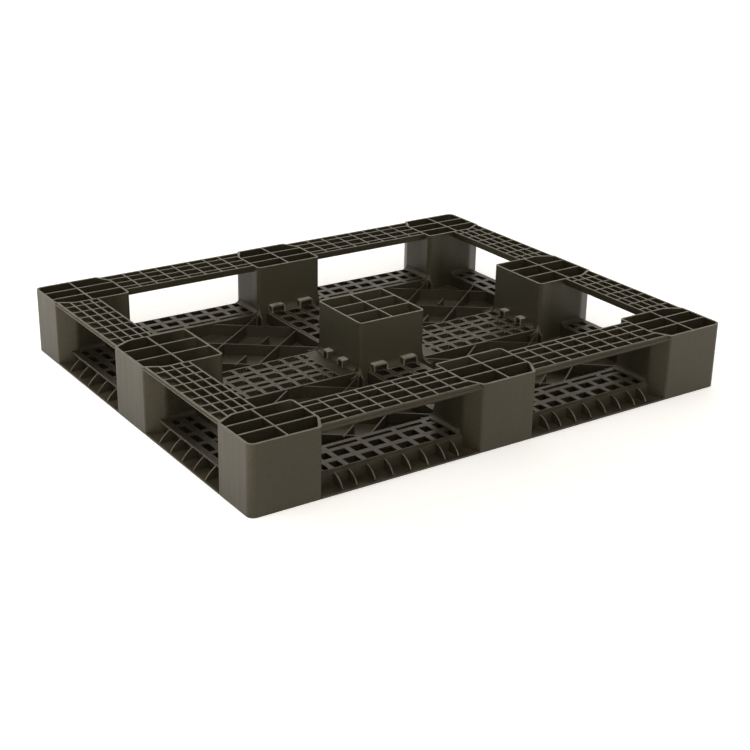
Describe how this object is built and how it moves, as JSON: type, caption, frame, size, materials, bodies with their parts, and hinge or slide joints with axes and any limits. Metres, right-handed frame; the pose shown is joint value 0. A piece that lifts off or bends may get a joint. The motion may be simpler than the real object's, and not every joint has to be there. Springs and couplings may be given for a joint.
{
  "type": "plastic pallet",
  "caption": "Rectangular moulded plastic pallet with hollow blocks, a ribbed perimeter base and a ribbed lattice deck, open to forks from all four sides.",
  "frame": {"origin": "centre of the footprint, in the plane of the load deck's outer face, which lies on the floor", "axes": "+X along the 1200 mm length towards the right side, +Y along the 1000 mm width towards the back, +Z from the load deck towards the perimeter base. The pallet is held as it lies in the picture, upside down: in use it is turned over, so that -Z points up."},
  "size_m": [1.2, 1, 0.15],
  "materials": {
    "blocks": "dark warm grey moulded polyolefin, satin, fine grain",
    "runners": "the same dark warm grey moulded plastic, edges lightly worn",
    "deck": "the same dark warm grey moulded plastic, dustier in its pockets"
  },
  "bodies": {
    "root": {"block_front_left": "blocks", "block_front_middle": "blocks", "block_front_right": "blocks", "block_back_left": "blocks", "block_back_middle": "blocks", "block_back_right": "blocks", "block_middle_left": "blocks", "block_middle_right": "blocks", "centre_block": "blocks", "end_runner_front_left": "runners", "side_runner_front_left": "runners", "deck_end_strip_front_left": "deck", "deck_side_strip_front_left": "deck", "deck_panel_front_left": "deck", "end_runner_front_right": "runners", "side_runner_front_right": "runners", "deck_end_strip_front_right": "deck", "deck_side_strip_front_right": "deck", "deck_panel_front_right": "deck", "end_runner_back_left": "runners", "side_runner_back_left": "runners", "deck_end_strip_back_left": "deck", "deck_side_strip_back_left": "deck", "deck_panel_back_left": "deck", "end_runner_back_right": "runners", "side_runner_back_right": "runners", "deck_end_strip_back_right": "deck", "deck_side_strip_back_right": "deck", "deck_panel_back_right": "deck", "deck_cross_strip_left": "deck", "deck_cross_strip_right": "deck", "deck_spine_strip_front": "deck", "deck_spine_strip_back": "deck"}
  },
  "joints": []
}
